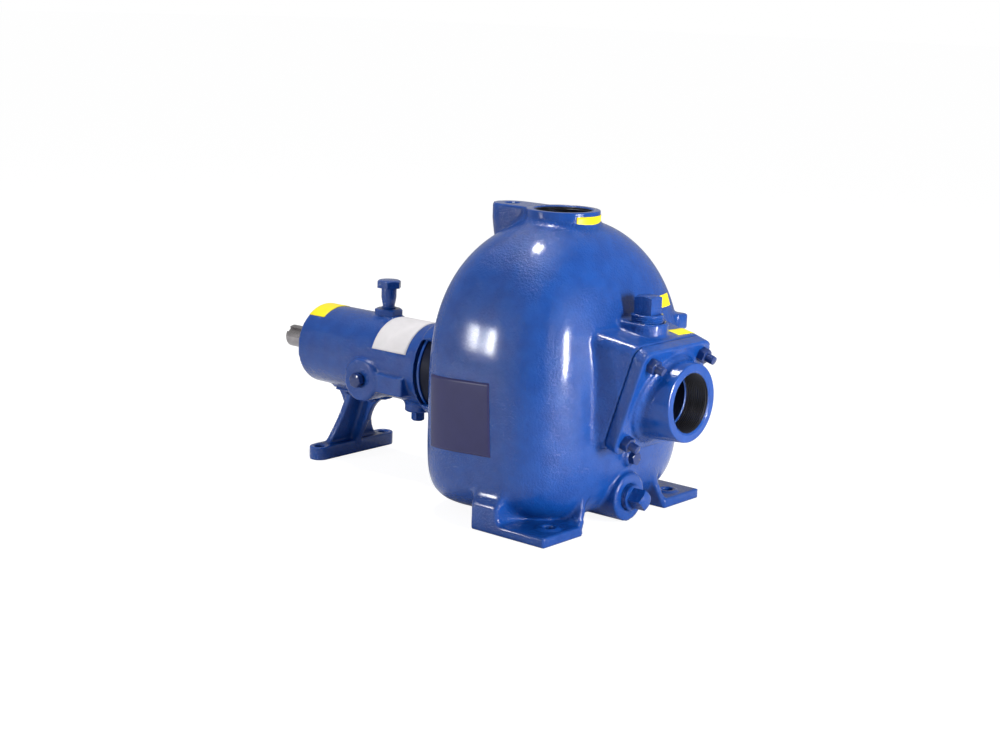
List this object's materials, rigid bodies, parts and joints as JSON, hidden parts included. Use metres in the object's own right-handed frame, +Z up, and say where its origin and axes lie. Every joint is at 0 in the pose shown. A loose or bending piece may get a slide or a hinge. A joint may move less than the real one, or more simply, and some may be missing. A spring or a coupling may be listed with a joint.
{
  "type": "bare-shaft trash pump",
  "caption": "Self-priming centrifugal trash pump: egg-shaped cast casing with threaded suction and discharge, check valve, bearing housing, pedestal foot and keyed bare shaft.",
  "frame": {"origin": "on the base plane, half way along the pump's overall length and on its middle plane", "axes": "+X along the shaft towards the suction port, +Z up, so +Y is the far side"},
  "size_m": [0.574, 0.269, 0.3155],
  "materials": {
    "body_paint": "gloss blue enamel over rough cast iron",
    "steel": "turned and zinc plated steel",
    "shaft_steel": "ground steel",
    "rubber": "matt black rubber",
    "gasket": "compressed fibre sheet",
    "cast_iron": "bare cast iron",
    "brass": "machined brass",
    "carbon": "lapped carbon and ceramic"
  },
  "bodies": {
    "pump_body": {"casing": "body_paint", "drain_plug": "body_paint", "side_plug": "body_paint", "suction_flange": "body_paint", "suction_gasket": "gasket", "flange_studs": "body_paint", "flange_nuts": "body_paint", "check_valve_pin": "steel", "wear_plate": "steel", "wear_plate_screws": "steel", "seal_seat": "carbon", "seal_plate": "body_paint", "seal_plate_gasket": "gasket", "seal_housing_lip_seal": "rubber", "bearing_housing": "body_paint", "bracket_bolts": "body_paint", "outer_races": "steel", "retaining_rings": "steel", "oil_seals": "rubber", "vent_bushing": "body_paint", "vent_body": "body_paint", "vent_cap": "body_paint", "oil_level_plug": "body_paint", "oil_drain_plug": "body_paint", "pedestal_foot": "body_paint", "pedestal_screws": "body_paint"},
    "rotor": {"shaft": "shaft_steel", "shaft_sleeve": "shaft_steel", "impeller": "cast_iron", "impeller_washer": "steel", "impeller_screw": "steel", "seal_ring": "carbon", "seal_bellows": "rubber", "slinger": "rubber", "inner_races": "steel"},
    "ball_cages": {"bearing_balls": "steel", "bearing_cages": "brass"},
    "check_valve": {"check_valve_flap": "rubber", "check_valve_weight": "steel", "check_valve_screw": "steel"},
    "fill_plug": {"fill_plug": "body_paint"}
  },
  "joints": [
    {"name": "shaft_spin", "type": "hinge", "parent": "pump_body", "child": "rotor", "pos_m": [0, 0, 0.1235], "axis": [1, 0, 0], "continuous": true},
    {"name": "cage_spin", "type": "hinge", "parent": "pump_body", "child": "ball_cages", "pos_m": [0, 0, 0.1235], "axis": [1, 0, 0], "continuous": true},
    {"name": "check_valve_swing", "type": "hinge", "parent": "pump_body", "child": "check_valve", "pos_m": [0.24167, 0, 0.18166], "axis": [0, 1, 0], "range_deg": [0, 60]},
    {"name": "fill_plug_lift", "type": "slide", "parent": "pump_body", "child": "fill_plug", "axis": [0, 0, 1], "range_m": [0, 0.06]}
  ],
  "couplings": [
    {"joint": "cage_spin", "follows": "shaft_spin", "ratio": 0.4}
  ]
}
